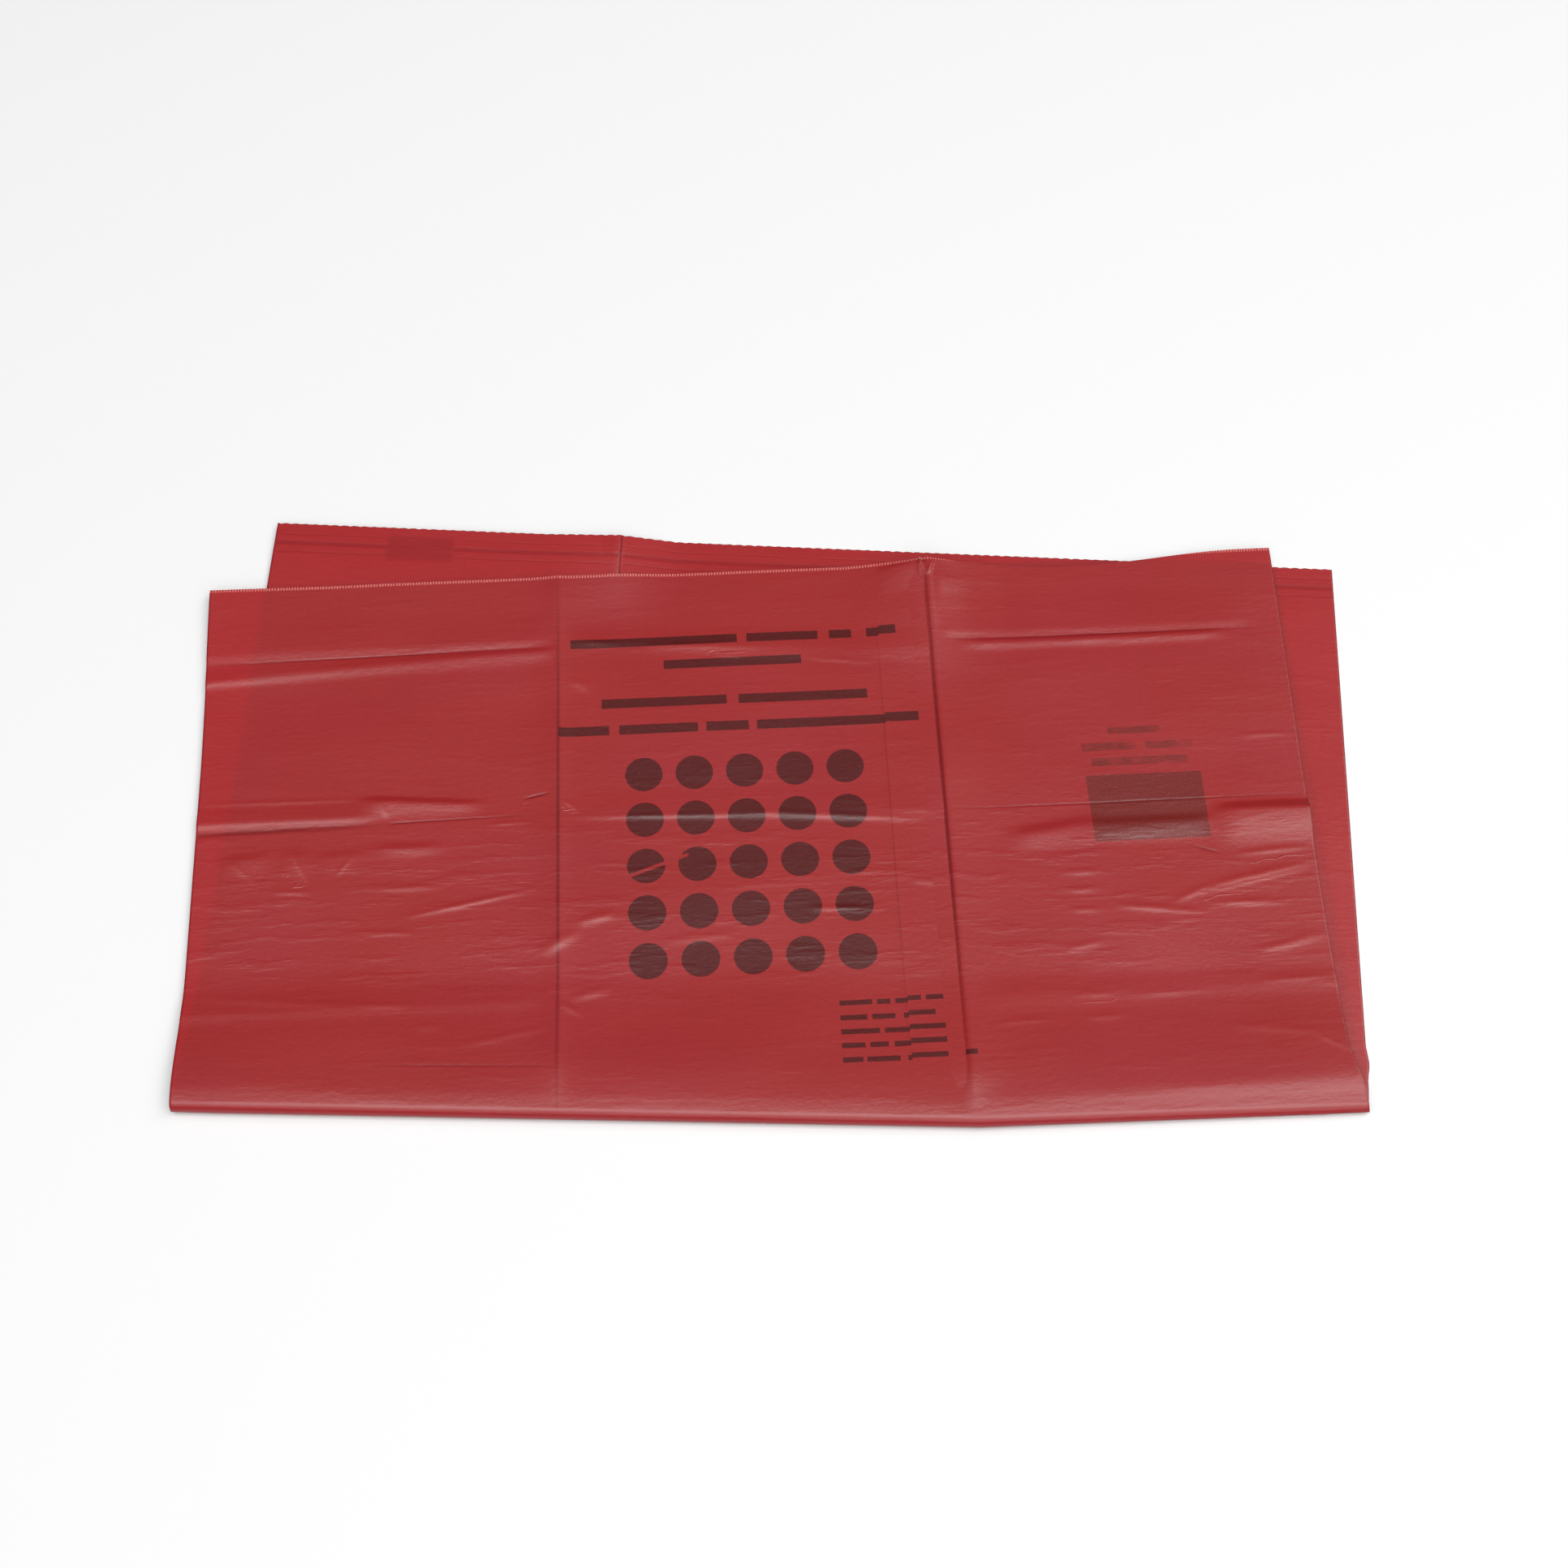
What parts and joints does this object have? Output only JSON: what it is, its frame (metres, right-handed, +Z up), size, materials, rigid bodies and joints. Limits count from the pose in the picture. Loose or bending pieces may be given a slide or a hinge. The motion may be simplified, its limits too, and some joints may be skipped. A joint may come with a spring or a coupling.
{
  "type": "clinical waste bag",
  "caption": "Empty flat-lying tube bag of thin red film, welded at one end, open at the other, folded once across the middle.",
  "frame": {"origin": "centre of the bounding box at the level of the floor that the folded bag lies on", "axes": "+X along the fold, +Y from the fold to the mouth and the welded end, +Z up from the floor"},
  "size_m": [0.6404, 0.3648, 0.0124],
  "materials": {
    "red_film": "translucent red polyethylene film with a satin gloss and fine machine striations"
  },
  "bodies": {
    "root": {"bag": "red_film"}
  },
  "joints": []
}
